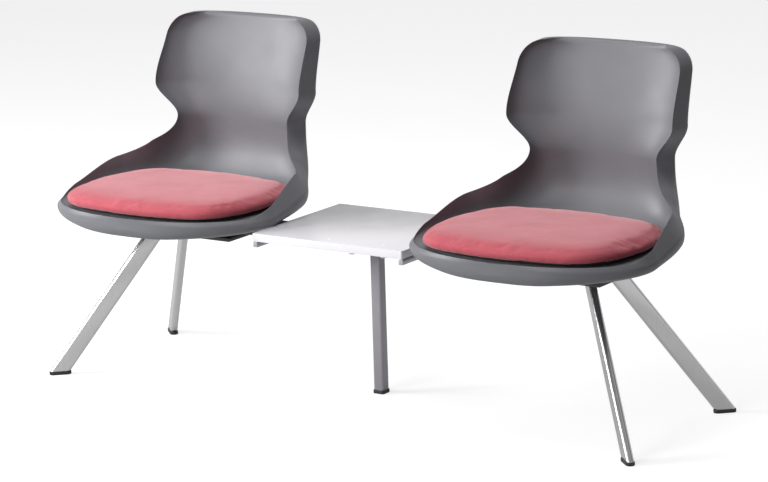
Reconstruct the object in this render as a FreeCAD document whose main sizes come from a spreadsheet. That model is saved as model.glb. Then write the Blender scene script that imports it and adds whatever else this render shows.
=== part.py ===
import FreeCAD, Part
import math
import os

import Sketcher

from FreeCAD import Placement, Rotation, Vector

# Two-seat beam bench with a small table between the seats. Millimetres, +Z up, the seats face -Y.
# The origin is on the floor under the centre post.

DOC = FreeCAD.newDocument("beam_seating")

# Driving dimensions: name, value, what it is
DRIVING = [
    ("seat_spacing", 968, "centre to centre of the two seats"),
    # beam
    ("beam_end_out", 121, "beam end from the nearer seat's centre"),
    ("beam_depth", 60, "beam section, front to back"),
    ("beam_height", 30, "beam section, vertical"),
    ("beam_wall", 3, "wall of the beam tube"),
    ("beam_round", 6, "outer corner radius of the beam"),
    ("beam_bottom", 336, "underside of the beam above the floor"),
    ("end_cap_thick", 4, "flange of a beam end cap"),
    ("end_cap_edge", 1, "chamfer round the flange"),
    ("end_cap_plug", 18, "length of the end cap inside the beam"),
    # legs
    ("leg_wide", 48, "leg section cut level, along the splay"),
    ("leg_thick", 17, "leg section across the splay"),
    ("leg_wall", 2.5, "wall of the leg tube"),
    ("foot_out", 276, "foot centre outwards from the seat's centre"),
    ("foot_reach_y", 220, "foot centre from the middle, front to back"),
    ("leg_past_bolt_x", 35, "leg centre at the saddle outwards from the clamp bolt"),
    ("leg_past_bolt_y", 16.5, "the same, front to back"),
    ("foot_cap_high", 8, "height of a foot cap under the tube"),
    ("foot_cap_lip", 1.5, "how far a foot cap stands out of its tube"),
    ("foot_plug_high", 22, "height of a foot cap's plug in the tube"),
    ("saddle_thick", 8, "leg saddle plate"),
    ("saddle_end", 36, "leg centre to the saddle's end"),
    ("saddle_side", 23.5, "leg centre to the saddle's long edge"),
    # centre post
    ("post_wide", 26, "side of the square centre post"),
    ("post_round", 5, "corner radius of the centre post"),
    ("post_wall", 2, "wall of the centre post"),
    ("post_bolt_pitch", 84, "clamp bolts of the post along the beam"),
    ("flange_end", 18, "clamp bolt to the end of the post's flange"),
    # clamps
    ("clamp_plate", 5, "thickness of the clamp plates"),
    ("clamp_edge", 12, "clamp bolt to a plate's long edge"),
    ("clamp_bolt", 8, "shank diameter of the clamp bolts"),
    ("clamp_bolt_inset", 8, "from a beam face to a clamp bolt's axis"),
    ("clamp_head", 13, "across flats of clamp bolt heads and nuts"),
    ("clamp_head_high", 5.5, "height of the clamp bolt heads"),
    ("clamp_nut_high", 6.5, "height of the clamp nuts"),
    ("hole_gap", 0.5, "radial gap round a bolt in its hole"),
    ("thread_gap", 0.1, "radial gap between a shank and its thread"),
    ("tip_gap", 1, "from a screw's or bolt head's end to the bottom of its hole"),
    # seat carriers
    ("plate_end", 5, "seat mounting plate past the seat rails"),
    ("seat_bolt_pitch", 120, "clamp bolts of a seat along the beam"),
    ("rail_pitch", 210, "distance between the two seat rails"),
    ("rail_wide", 30, "seat rail section, along the beam"),
    ("rail_high", 20, "seat rail section, vertical"),
    ("rail_wall", 2, "wall of a seat rail"),
    ("rail_front", -205, "front end of a seat rail"),
    ("rail_back", 85, "rear end of a seat rail"),
    ("seat_screw", 6, "shank diameter of the seat screws"),
    ("seat_screw_head", 12, "head diameter of the seat screws"),
    ("seat_screw_head_high", 3.5, "head height of the seat screws"),
    ("seat_screw_inset", 15, "from a rail's end to its screw"),
    ("boss_wide", 24, "diameter of a screw boss under the seat"),
    ("boss_high", 9, "from a rail's top to the underside of the shell's floor"),
    ("boss_grip", 12, "length of screw in its boss"),
    # seat shell; depths are measured from the bend axis, downwards or backwards
    ("floor_thick", 8, "thickness of the shell's floor"),
    ("base_recess", 1.5, "how deep the pad's base is let into the shell"),
    ("underside_drop", 40, "lowest edge of the shell below its floor"),
    ("shell_front", -300, "front edge of the shell"),
    ("widest_at", -115, "where the seat is widest"),
    ("seat_half", 280, "half width of the seat's upper edge"),
    ("bend_axis_y", 20, "axis that the seat turns up around"),
    ("bend_axis_up", 152, "height of that axis over the shell's floor"),
    ("bend_half", 252, "half width where the sides start to rise"),
    ("mid_bend_half", 200, "half width halfway round the bend"),
    ("waist_half", 157, "half width at the waist"),
    ("wing_half", 206, "half width at the wings"),
    ("shoulder_half", 201, "half width below the top corners"),
    ("top_corner", 52, "radius of the top corners"),
    ("top_up", 392, "top of the back over the shell's floor"),
    ("wing_up", 235, "tips of the wings over the shell's floor"),
    ("lip_up", 8.5, "front edge over the shell's floor"),
    ("edge_side", 124, "depth of the edge where the seat is widest"),
    ("edge_bend", 79, "depth of the edge where the sides start to rise"),
    ("edge_mid_bend", 73, "depth of the edge halfway round the bend"),
    ("edge_waist", 104, "depth of the edge at the waist"),
    ("edge_wing", 87, "depth of the edge at the wings"),
    ("edge_shoulder", 130, "depth of the edge at the shoulders"),
    ("edge_top", 154, "depth of the edge at the top"),
    ("rim_front", 10, "depth of the rim's face at the front"),
    ("rim_side", 28, "the same where the seat is widest"),
    ("rim_bend", 43, "the same where the sides start to rise"),
    ("rim_mid_bend", 31, "the same halfway round the bend"),
    ("rim_waist", 46, "the same at the waist"),
    ("rim_wing", 56, "the same at the wings"),
    ("rim_shoulder", 46, "the same at the shoulders"),
    ("rim_top", 38, "the same at the top"),
    ("rim_under", 9, "least depth of the outer face behind the rim's face"),
    ("bulge_side", 12, "how far the flank stands out past the edge where widest"),
    ("bulge_bend", 27, "the same where the sides start to rise"),
    ("bulge_mid_bend", 21, "the same halfway round the bend"),
    ("bulge_waist", 20, "the same at the waist"),
    ("bulge_wing", 5, "the same at the wings"),
    ("bend_start_out", 18, "depth gained early in the bend, in the middle"),
    ("bend_reach", 189, "depth of the middle halfway round the bend"),
    ("bend_high_reach", 185, "depth of the middle a little higher"),
    ("back_waist", 166, "depth of the middle at the waist"),
    ("back_top", 212, "depth of the middle at the top"),
    ("bend_thick", 28, "thickness in the middle of the bend"),
    ("back_thick", 23, "thickness in the middle of the back"),
    ("recess_inset", 30, "from the seat's edge to the hollow underneath"),
    ("recess_back_gap", 5, "from the rear end of a rail to the hollow's end"),
    ("recess_back_half", 185, "half width of the hollow at its rear end"),
    # pad
    ("pad_side_gap", 24, "from the seat's upper edge to the pad, at the sides"),
    ("pad_front_gap", 8, "from the shell's front edge to the pad"),
    ("pad_back_y", 95, "rear end of the pad behind the bend axis"),
    ("pad_corner_radius", 112, "radius of the pad's corners"),
    ("pad_bow", 15, "how far the pad's sides bow out between its corners"),
    ("pad_thick", 22, "pad thickness at its edge"),
    ("pad_crown", 10, "rise of the pad's middle over its edge"),
    ("pad_draw_in", 9, "how far the pad's underside is drawn in"),
    ("pad_edge_round", 14, "how far in the pad's side turns to its top"),
    ("pad_shoulder", 80, "how far in the pad reaches its full height"),
    ("pad_overhang", 33, "how far the pad stands out past its base"),
    ("pad_base_thick", 12, "thickness of the pad's base board"),
    ("seat_clearance", 0.4, "gap between a pad's base and the shell"),
    ("stud_wide", 7, "diameter of the pad's studs"),
    ("stud_head", 14, "diameter of the studs' heads"),
    ("stud_head_high", 2, "height of the studs' heads"),
    ("stud_reach", 120, "studs from the middle of the pad"),
    # table
    ("table_gap", 6, "in plan, from a seat's upper edge to the table"),
    ("table_deep", 345, "table front to back"),
    ("table_thick", 18, "thickness of the table top"),
    ("table_front", -200, "front edge of the table"),
    ("table_round", 3, "corner radius of the table top"),
    ("table_plate_end", 48, "from the table's end to the bracket under it"),
    ("table_plate_deep", 220, "table bracket front to back"),
    ("table_screw", 5, "shank diameter of the table screws"),
    ("table_screw_head", 10, "head diameter of the table screws"),
    ("table_screw_head_high", 3, "head height of the table screws"),
    ("table_screw_inset", 15, "from the bracket's edges to a table screw"),
    ("table_screw_grip", 12, "length of screw in the table top"),
    ("end_rail_wide", 11, "table end rail, along the beam"),
    ("end_rail_high", 14, "table end rail, vertical"),
]

# Levels and places that follow from the sizes above
FOLLOWING = [
    ("beam_top", "=beam_bottom + beam_height"),
    ("beam_half_deep", "=beam_depth / 2"),
    ("beam_length", "=seat_spacing + 2 * beam_end_out"),
    ("beam_half_long", "=beam_length / 2"),
    ("clamp_bolt_y", "=beam_half_deep + clamp_bolt_inset"),
    ("clamp_deep", "=2 * ( clamp_bolt_y + clamp_edge )"),
    ("foot_reach_x", "=seat_spacing / 2 + foot_out"),
    ("leg_top_out", "=seat_bolt_pitch / 2 + leg_past_bolt_x"),
    ("leg_top_x", "=seat_spacing / 2 + leg_top_out"),
    ("leg_top_y", "=clamp_bolt_y + leg_past_bolt_y"),
    ("saddle_long", "=2 * ( leg_top_out + saddle_end )"),
    ("saddle_deep", "=2 * ( leg_top_y + saddle_side )"),
    ("saddle_bottom", "=beam_bottom - saddle_thick"),
    ("post_flange_long", "=post_bolt_pitch + 2 * flange_end"),
    ("plate_top", "=beam_top + clamp_plate"),
    ("lower_plate_bottom", "=beam_bottom - clamp_plate"),
    ("seat_plate_long", "=rail_pitch + rail_wide + 2 * plate_end"),
    ("rail_top", "=plate_top + rail_high"),
    ("rail_long", "=rail_back - rail_front"),
    ("floor_bottom", "=rail_top + boss_high"),
    ("floor_level", "=floor_bottom + floor_thick"),
    ("bend_axis_z", "=floor_level + bend_axis_up"),
    ("shell_underside", "=floor_level - underside_drop"),
    ("top_level", "=floor_level + top_up"),
    ("wing_level", "=floor_level + wing_up"),
    ("pad_bottom", "=floor_level + pad_base_thick"),
    ("pad_half", "=seat_half - pad_side_gap"),
    ("pad_front", "=shell_front + pad_front_gap"),
    ("pad_back", "=bend_axis_y + pad_back_y"),
    ("pad_half_deep", "=( pad_back - pad_front ) / 2"),
    ("pad_centre_y", "=( pad_back + pad_front ) / 2"),
    ("table_half_long", "=seat_spacing / 2 - seat_half - table_gap"),
    ("table_long", "=2 * table_half_long"),
    ("table_plate_long", "=table_long - 2 * table_plate_end"),
    ("table_bottom", "=plate_top"),
]

SHEET = DOC.addObject("Spreadsheet::Sheet", "sizes")
ALIASES = [row[0] for row in DRIVING + FOLLOWING]


def fill_sheet():
    row = 0
    for name, number, what in DRIVING:
        row += 1
        SHEET.set("A%d" % row, what)
        SHEET.set("B%d" % row, str(number))
        SHEET.setAlias("B%d" % row, name)
    for name, formula in FOLLOWING:
        row += 1
        SHEET.set("B%d" % row, formula)
        SHEET.setAlias("B%d" % row, name)
    DOC.recompute()


fill_sheet()


def size(name):
    return float(getattr(SHEET, name))


def bound(text):
    """Turn each word that is an alias into a reference to the sheet."""
    return " ".join("sizes." + word if word in ALIASES else word for word in text.split())


def bind(item, prop, text):
    item.setExpression(prop, bound(text))


def bind_place(item, x="0", y="0", z="0"):
    bind(item, "Placement.Base.x", x)
    bind(item, "Placement.Base.y", y)
    bind(item, "Placement.Base.z", z)


SUB_PARTS = []


def sub_part(item, label):
    item.Label = label
    SUB_PARTS.append(item)
    return item


# Building blocks


def plane_of(body, role):
    return [item for item in body.Origin.OriginFeatures if item.Role == role][0]


def new_sketch(body, role, name):
    sketch = body.newObject("Sketcher::SketchObject", name)
    sketch.AttachmentSupport = [(plane_of(body, role), "")]
    sketch.MapMode = "FlatFace"
    return sketch


def add_rectangle(sketch, wide, high, tag, below=None):
    """A rectangle with its two sizes bound to the sheet.

    It is centred on the sketch's origin, or only across where its lower side has a bound
    distance below the origin.
    """
    first = sketch.GeometryCount
    corners = [(-10, -10), (10, -10), (10, 10), (-10, 10)]
    for start, end in zip(corners, corners[1:] + corners[:1]):
        sketch.addGeometry(Part.LineSegment(Vector(*start, 0), Vector(*end, 0)))
    for step in range(4):
        join = Sketcher.Constraint("Coincident", first + step, 2, first + (step + 1) % 4, 1)
        sketch.addConstraint(join)
    sketch.addConstraint(Sketcher.Constraint("Horizontal", first + 2))
    sketch.addConstraint(Sketcher.Constraint("Vertical", first + 1))
    sketch.addConstraint(Sketcher.Constraint("Vertical", first + 3))
    if below is None:
        sketch.addConstraint(Sketcher.Constraint("Horizontal", first))
        sketch.addConstraint(Sketcher.Constraint("Symmetric", first, 1, first + 1, 2, -1, 1))
    else:
        sketch.addConstraint(Sketcher.Constraint("Symmetric", first, 1, first, 2, -2))
        index = sketch.addConstraint(Sketcher.Constraint("DistanceY", first, 1, -1, 1, 10))
        sketch.renameConstraint(index, tag + "_below")
        sketch.setExpression("Constraints." + tag + "_below", bound(below))
    across = sketch.addConstraint(Sketcher.Constraint("DistanceX", first, 1, first, 2, 20))
    upward = sketch.addConstraint(Sketcher.Constraint("DistanceY", first + 1, 1, first + 1, 2, 20))
    sketch.renameConstraint(across, tag + "_wide")
    sketch.renameConstraint(upward, tag + "_high")
    sketch.setExpression("Constraints." + tag + "_wide", bound(wide))
    sketch.setExpression("Constraints." + tag + "_high", bound(high))


def add_hole(sketch, side_x, side_y, from_x, from_y, diameter, tag):
    """A circle on the side given by two signs, at bound distances from the sketch's origin."""
    hole = sketch.addGeometry(
        Part.Circle(Vector(30 * side_x, 30 * side_y, 0), Vector(0, 0, 1), 3)
    )
    for kind, side, text in (("DistanceX", side_x, from_x), ("DistanceY", side_y, from_y)):
        ends = (-1, 1, hole, 3) if side > 0 else (hole, 3, -1, 1)
        index = sketch.addConstraint(Sketcher.Constraint(kind, *ends, 30))
        sketch.renameConstraint(index, tag + "_" + kind)
        sketch.setExpression("Constraints." + tag + "_" + kind, bound(text))
    index = sketch.addConstraint(Sketcher.Constraint("Diameter", hole, 6))
    sketch.renameConstraint(index, tag + "_bore")
    sketch.setExpression("Constraints." + tag + "_bore", bound(diameter))


def padded(body, sketch, length):
    pad = body.newObject("PartDesign::Pad", body.Name + "_pad")
    pad.Profile = sketch
    bind(pad, "Length", length)
    DOC.recompute()
    return pad


def round_edges(body, base, direction, radius, wanted=None):
    """Fillet the straight edges of a feature that run along a direction."""
    edges = []
    for number, edge in enumerate(base.Shape.Edges, start=1):
        if edge.Curve.TypeId != "Part::GeomLine":
            continue
        along = edge.tangentAt(edge.FirstParameter)
        if abs(abs(along.dot(direction)) - 1) > 1e-6:
            continue
        if wanted is None or wanted(edge):
            edges.append("Edge%d" % number)
    fillet = body.newObject("PartDesign::Fillet", body.Name + "_round")
    fillet.Base = (base, edges)
    bind(fillet, "Radius", radius)
    DOC.recompute()
    return fillet


def plate(label, wide, deep, thick, place, holes=()):
    """A flat plate lying level, centred on its place, with round holes through it."""
    body = DOC.addObject("PartDesign::Body", label)
    sketch = new_sketch(body, "XY_Plane", label + "_outline")
    add_rectangle(sketch, wide, deep, "outline")
    for count, (from_x, from_y, diameter) in enumerate(holes):
        sides = [(sx, sy) for sx in (-1, 1) for sy in (-1, 1)]
        for corner, (side_x, side_y) in enumerate(sides):
            tag = "hole_%d_%d" % (count, corner)
            add_hole(sketch, side_x, side_y, from_x, from_y, diameter, tag)
    padded(body, sketch, thick)
    bind_place(body, *place)
    return sub_part(body, label)


def tube(label, role, wide, high, wall, length, place, round_radius=None):
    """A rectangular tube, its section drawn on one of its own planes."""
    body = DOC.addObject("PartDesign::Body", label)
    sketch = new_sketch(body, role, label + "_section")
    add_rectangle(sketch, wide, high, "outside")
    add_rectangle(sketch, wide + " - 2 * " + wall, high + " - 2 * " + wall, "inside")
    pad = padded(body, sketch, length)
    if round_radius:
        along = {"XY_Plane": Vector(0, 0, 1), "YZ_Plane": Vector(1, 0, 0)}[role]
        reach = pad.Shape.BoundBox.YMax

        def on_outside(edge):
            return abs(abs(edge.CenterOfMass.y) - reach) < 1e-3

        round_edges(body, pad, along, round_radius, on_outside)
    bind_place(body, *place)
    return sub_part(body, label)


def cylinder(name, diameter, height, place):
    item = DOC.addObject("Part::Cylinder", name)
    bind(item, "Radius", "( " + diameter + " ) / 2")
    bind(item, "Height", height)
    bind_place(item, *place)
    return item


def hexagon(name, across_flats, height, place, bore=None):
    item = DOC.addObject("Part::Prism", name)
    item.Polygon = 6
    bind(item, "Circumradius", across_flats + " / 2 / cos( 30 deg )")
    bind(item, "Height", height)
    bind_place(item, *place)
    if bore is None:
        return item
    drill = cylinder(name + "_thread", bore, height, place)
    nut = DOC.addObject("Part::Cut", name + "_bored")
    nut.Base = item
    nut.Tool = drill
    return nut


def group(label, solids, place=("0", "0", "0")):
    """Separate solids that share one node."""
    item = DOC.addObject("Part::Compound", label)
    item.Links = solids
    bind_place(item, *place)
    return sub_part(item, label)


def fused(name, solids):
    item = DOC.addObject("Part::MultiFuse", name)
    item.Shapes = solids
    return item


# Seat shell: one closed section after another, from the front edge round the bend to the top.
# A section lies in a plane that holds the X direction. Its points are (x, depth), where depth
# runs away from the bend axis: downwards under the seat, backwards behind the back.

BEND_TRAVEL = 160.0
SECTION_STEPS = 9
FRONT_STEPS = (1.5, 4, 8, 14, 24, 38, 56, 80, 110, 150)
SEAT_STEPS = 5
BEND_ANGLES = (0, 12, 24, 36, 48, 60, 72, 82)
BACK_STEPS = 11
CORNER_SHARES = (0.4, 0.68, 0.84, 0.94, 1)
# How far along and how far up the underside starts from the front edge
NOSE = ((0, 20), (4, 11), (12, 3), (26, 0))
# The flank stops standing out where the front is narrower than this
NOSE_HALF = 60.0
# From where the seat is widest to where its edge is down at the lip
LIP_TRAVEL = 60.0
FLAT_TRAVEL = 20.0
WAIST_TRAVEL = 6.0
WING_EDGE_TRAVEL = 3.0
EARLY_BEND = 0.55
LATE_BEND = 1.2
EDGE_ROUND = 8.0
FRONT_FULLNESS = 2.15
# Exponents of the sections: high ones are boxy, two is an ellipse
HOLLOW_SEAT = 6.0
HOLLOW_BEND = 4.0
HOLLOW_BACK = 2.4
SWELL_SIDE = 3.2
SWELL_BEND = 3.0
SWELL_BACK = 2.3


def smooth(points):
    """A curve through the points that never overshoots them."""
    xs = [p[0] for p in points]
    ys = [p[1] for p in points]
    steps = [b - a for a, b in zip(xs, xs[1:])]
    slopes = [(b - a) / step for a, b, step in zip(ys, ys[1:], steps)]
    tangents = [slopes[0]]
    for before, after in zip(slopes, slopes[1:]):
        level = before * after <= 0
        tangents.append(0.0 if level else 2 * before * after / (before + after))
    tangents.append(slopes[-1])

    def at(x):
        if x <= xs[0]:
            return ys[0]
        if x >= xs[-1]:
            return ys[-1]
        i = max(k for k in range(len(steps)) if xs[k] <= x)
        t = (x - xs[i]) / steps[i]
        rise = ys[i + 1] - ys[i]
        bend_start = tangents[i] * steps[i] - rise
        bend_end = rise - tangents[i + 1] * steps[i]
        return ys[i] + t * rise + t * (1 - t) * ((1 - t) * bend_start + t * bend_end)

    return at


class ShellForm:
    """Half widths and depths of the shell along its travel from front edge to top."""

    def __init__(self):
        self.axis_y = size("bend_axis_y")
        self.axis_z = size("bend_axis_z")
        self.front = size("shell_front") - self.axis_y
        self.widest = size("widest_at") - self.axis_y
        self.top = BEND_TRAVEL + size("top_level") - self.axis_z
        self.corner = self.top - size("top_corner")
        middle = BEND_TRAVEL / 2
        waist = BEND_TRAVEL + WAIST_TRAVEL
        wing = BEND_TRAVEL + size("wing_level") - self.axis_z
        lip = self.widest - LIP_TRAVEL
        floor_depth = size("bend_axis_up") - size("base_recess")
        under_depth = size("bend_axis_up") + size("underside_drop")
        self.half = smooth([
            (self.widest, size("seat_half")),
            (0, size("bend_half")),
            (middle, size("mid_bend_half")),
            (waist, size("waist_half")),
            (wing, size("wing_half")),
            (self.corner, size("shoulder_half")),
        ])
        self.edge = smooth([
            (lip, size("bend_axis_up") - size("lip_up")),
            (self.widest, size("edge_side")),
            (0, size("edge_bend")),
            (middle, size("edge_mid_bend")),
            (waist, size("edge_waist")),
            (wing - WING_EDGE_TRAVEL, size("edge_wing")),
            (self.corner, size("edge_shoulder")),
            (self.top, size("edge_top")),
        ])
        self.rim = smooth([
            (lip, size("rim_front")),
            (self.widest, size("rim_side")),
            (0, size("rim_bend")),
            (middle, size("rim_mid_bend")),
            (waist, size("rim_waist")),
            (wing, size("rim_wing")),
            (self.corner, size("rim_shoulder")),
            (self.top, size("rim_top")),
        ])
        self.bulge = smooth([
            (self.widest, size("bulge_side")),
            (0, size("bulge_bend")),
            (middle, size("bulge_mid_bend")),
            (waist, size("bulge_waist")),
            (wing, size("bulge_wing")),
        ])
        self.inner = smooth([
            (-FLAT_TRAVEL, floor_depth),
            (0, floor_depth),
            (middle * EARLY_BEND, floor_depth + size("bend_start_out")),
            (middle, size("bend_reach")),
            (middle * LATE_BEND, size("bend_high_reach")),
            (BEND_TRAVEL, size("back_waist")),
            (self.top, size("back_top")),
        ])
        nose = [(self.front + along, under_depth - up) for along, up in NOSE]
        self.outer = smooth(nose + [
            (0, under_depth),
            (middle, size("bend_reach") + size("bend_thick")),
            (BEND_TRAVEL, size("back_waist") + size("back_thick")),
            (self.top, size("back_top") + size("back_thick")),
        ])
        self.hollow = smooth([(0, HOLLOW_SEAT), (middle, HOLLOW_BEND), (BEND_TRAVEL, HOLLOW_BACK)])
        self.swell = smooth([(self.widest, SWELL_SIDE), (0, SWELL_BEND), (BEND_TRAVEL, SWELL_BACK)])

    def half_width(self, travel):
        """Front outline as part of a rounded square, then the side, then the top corner."""
        if travel < self.widest:
            share = (self.widest - travel) / (self.widest - self.front)
            rest = 1 - share ** FRONT_FULLNESS
            return size("seat_half") * rest ** (1 / FRONT_FULLNESS)
        if travel > self.corner:
            radius = size("top_corner")
            rise = min(travel - self.corner, radius)
            return self.half(travel) - radius + math.sqrt(radius ** 2 - rise ** 2)
        return self.half(travel)

    def top_inset(self, travel):
        """How far the faces draw in to round the top edge."""
        rise = travel - (self.top - EDGE_ROUND)
        if rise <= 0:
            return 0.0
        least = EDGE_ROUND / 16
        return EDGE_ROUND - math.sqrt(max(EDGE_ROUND ** 2 - rise ** 2, least ** 2))

    def section(self, travel):
        """Inner and outer points of half a section, each from the side to the middle."""
        inset = self.top_inset(travel)
        half = self.half_width(travel)
        edge = self.edge(travel) + inset
        inner = self.inner(travel) + inset
        outer = self.outer(travel) - inset
        rim_end = self.edge(travel) + self.rim(travel)
        shoulder = min(rim_end, self.outer(travel) - size("rim_under")) - inset
        flank = half + self.bulge(travel) * min(1.0, half / NOSE_HALF)
        inside = []
        outside = []
        for step in range(SECTION_STEPS + 1):
            angle = math.pi / 2 * step / SECTION_STEPS
            power = 2 / self.hollow(travel)
            depth = edge + (inner - edge) * math.sin(angle) ** power
            inside.append((half * math.cos(angle) ** power, depth))
            power = 2 / self.swell(travel)
            depth = shoulder + (outer - shoulder) * math.sin(angle) ** power
            outside.append((flank * math.cos(angle) ** power, depth))
        inside[-1] = (0.0, inner)
        outside[-1] = (0.0, outer)
        return inside, outside

    def place(self, travel, x, depth):
        """A point of a section in the seat's own frame."""
        if travel <= 0:
            return Vector(x, self.axis_y + travel, self.axis_z - depth)
        if travel >= BEND_TRAVEL:
            return Vector(x, self.axis_y + depth, self.axis_z + travel - BEND_TRAVEL)
        angle = math.pi / 2 * travel / BEND_TRAVEL
        back = depth * math.sin(angle)
        down = depth * math.cos(angle)
        return Vector(x, self.axis_y + back, self.axis_z - down)

    def travels(self):
        """Where the sections lie along the travel."""
        front = [self.front + step for step in FRONT_STEPS]
        seat = [front[-1] * (1 - step / SEAT_STEPS) for step in range(1, SEAT_STEPS)]
        bend = [BEND_TRAVEL * angle / 90 for angle in BEND_ANGLES]
        rise = self.corner - BEND_TRAVEL
        back = [BEND_TRAVEL + rise * step / BACK_STEPS for step in range(BACK_STEPS + 1)]
        corner = [self.corner + (self.top - self.corner) * share for share in CORNER_SHARES]
        return front + seat + bend + back + corner

    def across(self, travel, half):
        """One curve across the seat through half a section and its mirror image."""
        left = [self.place(travel, -x, depth) for x, depth in half]
        right = [self.place(travel, x, depth) for x, depth in half[-2::-1]]
        curve = Part.BSplineCurve()
        curve.interpolate(left + right)
        return curve.toShape()

    def wire(self, travel):
        inside, outside = self.section(travel)
        edges = [self.across(travel, inside), self.across(travel, outside)]
        for side in (-1, 1):
            edges.append(Part.makeLine(
                self.place(travel, side * inside[0][0], inside[0][1]),
                self.place(travel, side * outside[0][0], outside[0][1]),
            ))
        return Part.Wire(Part.__sortEdges__(edges))

    def solid(self):
        return Part.makeLoft([self.wire(travel) for travel in self.travels()], True, True)


# Pads


# How high the pad's side is fullest and how high its drawn-in foot ends, as shares of its edge
PAD_FULLEST = 0.42
PAD_FOOT = 0.18
PAD_FOOT_INSET = 0.28
PAD_EDGE_STEPS = 4
PAD_CROWN_SHARES = (0.3, 0.6, 1)


def pad_outline(inset, level):
    """The pad's outline drawn in by an inset: four long arcs joined by four corner arcs."""
    half_x = size("pad_half")
    half_y = size("pad_half_deep")
    corner = size("pad_corner_radius")
    reach = corner + size("pad_bow")
    corner_x = half_x - reach
    corner_y = half_y - reach
    side_radius = (reach ** 2 + corner_y ** 2 - corner ** 2) / (2 * size("pad_bow"))
    front_radius = (reach ** 2 + corner_x ** 2 - corner ** 2) / (2 * size("pad_bow"))
    radius = corner - inset
    corner_at = Vector(corner_x, corner_y, 0)
    side_turn = (corner_at - Vector(half_x - side_radius, 0, 0)).normalize()
    front_turn = (corner_at - Vector(0, half_y - front_radius, 0)).normalize()
    turns = (side_turn, (side_turn + front_turn).normalize(), front_turn)
    middle = Vector(0, size("pad_centre_y"), level)
    corners = []
    for sign_x, sign_y in ((1, 1), (-1, 1), (-1, -1), (1, -1)):
        points = []
        for turn in turns:
            point = corner_at + turn * radius
            points.append(middle + Vector(sign_x * point.x, sign_y * point.y, 0))
        corners.append(points if sign_x * sign_y > 0 else points[::-1])
    reaches = (
        Vector(0, half_y - inset, 0),
        Vector(inset - half_x, 0, 0),
        Vector(0, inset - half_y, 0),
        Vector(half_x - inset, 0, 0),
    )
    edges = []
    for points, following, side in zip(corners, corners[1:] + corners[:1], reaches):
        edges.append(Part.Arc(*points).toShape())
        edges.append(Part.Arc(points[2], middle + side, following[0]).toShape())
    return Part.Wire(edges)


def outline_prism(inset, low, high):
    """A straight-sided slab with the pad's outline drawn in by an inset."""
    return Part.Face(pad_outline(inset, low)).extrude(Vector(0, 0, high))


def made(label, shape, x="0", y="0", z="0"):
    """A sub-part whose shape is built in code from the sheet's sizes."""
    item = DOC.addObject("Part::Feature", label)
    item.Shape = shape
    bind_place(item, x, y, z)
    return sub_part(item, label)


def upright(diameter, x, y, low, high):
    return Part.makeCylinder(diameter / 2, high - low, Vector(x, y, low))


def seat_screw_places():
    """Screws near both ends of both rails, in the seat's own frame."""
    x = size("rail_pitch") / 2
    front = size("rail_front") + size("seat_screw_inset")
    back = size("rail_back") - size("seat_screw_inset")
    return [(sx * x, y) for sx in (-1, 1) for y in (front, back)]


def stud_places():
    reach = size("stud_reach")
    middle = size("pad_centre_y")
    return [(sx * reach, middle + sy * reach) for sx in (-1, 1) for sy in (-1, 1)]


def hollow_outline(form):
    """Plan of the hollow under the seat, drawn in from the seat's edge."""
    inset = size("recess_inset")
    front = form.axis_y + form.front + inset
    count = 12
    half = [Vector(0, front, 0)]
    for step in range(1, count + 1):
        y = front + (form.axis_y - front) * (1 - (1 - step / count) ** 2)
        half.append(Vector(form.half_width(y - inset - form.axis_y) - inset, y, 0))
    curve = Part.BSplineCurve()
    mirrored = [Vector(-p.x, p.y, 0) for p in half[:0:-1]]
    curve.interpolate(mirrored + half)
    back = size("rail_back") + size("recess_back_gap")
    side = size("recess_back_half")
    corners = [half[-1], Vector(side, back, 0), Vector(-side, back, 0), mirrored[0]]
    edges = [curve.toShape()]
    for start, stop in zip(corners, corners[1:]):
        edges.append(Part.makeLine(start, stop))
    return Part.Wire(Part.__sortEdges__(edges))


def seat_shell_shape():
    """The lofted shell, hollowed underneath, with its screw bosses, stud holes and pad seat."""
    form = ShellForm()
    shell = form.solid()
    floor = size("floor_level")
    under = size("floor_bottom")
    overcut = size("floor_thick")
    low = size("shell_underside") - overcut
    hollow = Part.Face(hollow_outline(form)).extrude(Vector(0, 0, under - low))
    hollow.translate(Vector(0, 0, low))
    shell = shell.cut(hollow)
    board = outline_prism(size("pad_overhang") - size("seat_clearance"), floor,
                          form.axis_z - floor)
    shell = shell.cut(board)
    boss_low = size("rail_top")
    for x, y in seat_screw_places():
        shell = shell.fuse(upright(size("boss_wide"), x, y, boss_low, under + overcut / 2))
    thread = size("seat_screw") + 2 * size("thread_gap")
    for x, y in seat_screw_places():
        shell = shell.cut(upright(thread, x, y, boss_low, boss_low + size("boss_grip")))
    stud_bore = size("stud_wide") + 2 * size("hole_gap")
    for x, y in stud_places():
        shell = shell.cut(upright(stud_bore, x, y, under - overcut, floor + overcut))
    return shell.removeSplitter()


def pad_base(label, offset):
    board = outline_prism(size("pad_overhang"), size("floor_level"), size("pad_base_thick"))
    return made(label, board, offset)


def pad_studs(label, offset):
    """Push-in studs that hold a pad's base to the shell's floor."""
    under = size("floor_bottom")
    studs = []
    for x, y in stud_places():
        shank = upright(size("stud_wide"), x, y, under, size("floor_level"))
        head = upright(size("stud_head"), x, y, under - size("stud_head_high"), under)
        studs.append(shank.fuse(head))
    return made(label, Part.makeCompound(studs), offset)


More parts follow.
